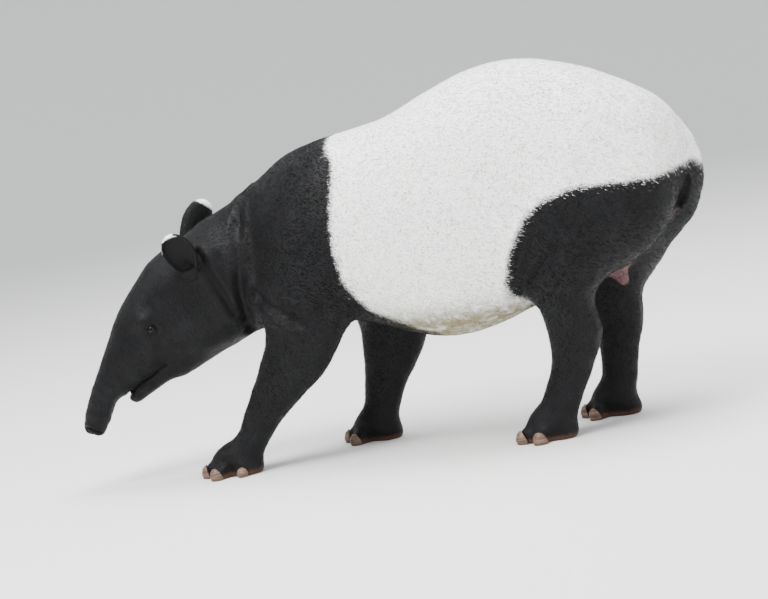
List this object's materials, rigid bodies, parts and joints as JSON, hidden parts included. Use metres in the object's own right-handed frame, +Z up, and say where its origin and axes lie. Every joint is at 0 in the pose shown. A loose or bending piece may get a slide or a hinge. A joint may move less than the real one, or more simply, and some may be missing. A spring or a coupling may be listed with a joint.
{
  "type": "malayan tapir",
  "caption": "Life-size standing Malayan tapir with its head lowered, black with a white saddle, short trunk, round ears and hoofed toes.",
  "frame": {"origin": "middle of the box around the animal, on the floor that its feet stand on", "axes": "the head points to -X, the animal's left side to -Y, +Z is up"},
  "size_m": [1.7694, 0.5746, 1.0087],
  "materials": {
    "black_coat": "short, dense charcoal-black fur over thick skin, satin",
    "white_coat": "short, dense off-white fur on the back and flanks, black towards both ends, satin",
    "eye": "wet, dark brown, glossy",
    "hoof": "worn brown horn with pale upper edges"
  },
  "bodies": {
    "root": {"torso": "white_coat", "neck": "black_coat", "head": "black_coat", "foreleg_left": "black_coat", "foreleg_right": "black_coat", "hindleg_left": "black_coat", "hindleg_right": "black_coat", "tail": "black_coat", "ear_left": "black_coat", "ear_right": "black_coat", "eye_left": "eye", "eye_right": "eye", "hoof_foreleg_left_1": "hoof", "hoof_foreleg_left_2": "hoof", "hoof_foreleg_left_3": "hoof", "hoof_foreleg_left_4": "hoof", "hoof_foreleg_right_1": "hoof", "hoof_foreleg_right_2": "hoof", "hoof_foreleg_right_3": "hoof", "hoof_foreleg_right_4": "hoof", "hoof_hindleg_left_1": "hoof", "hoof_hindleg_left_2": "hoof", "hoof_hindleg_left_3": "hoof", "hoof_hindleg_right_1": "hoof", "hoof_hindleg_right_2": "hoof", "hoof_hindleg_right_3": "hoof"}
  },
  "joints": []
}
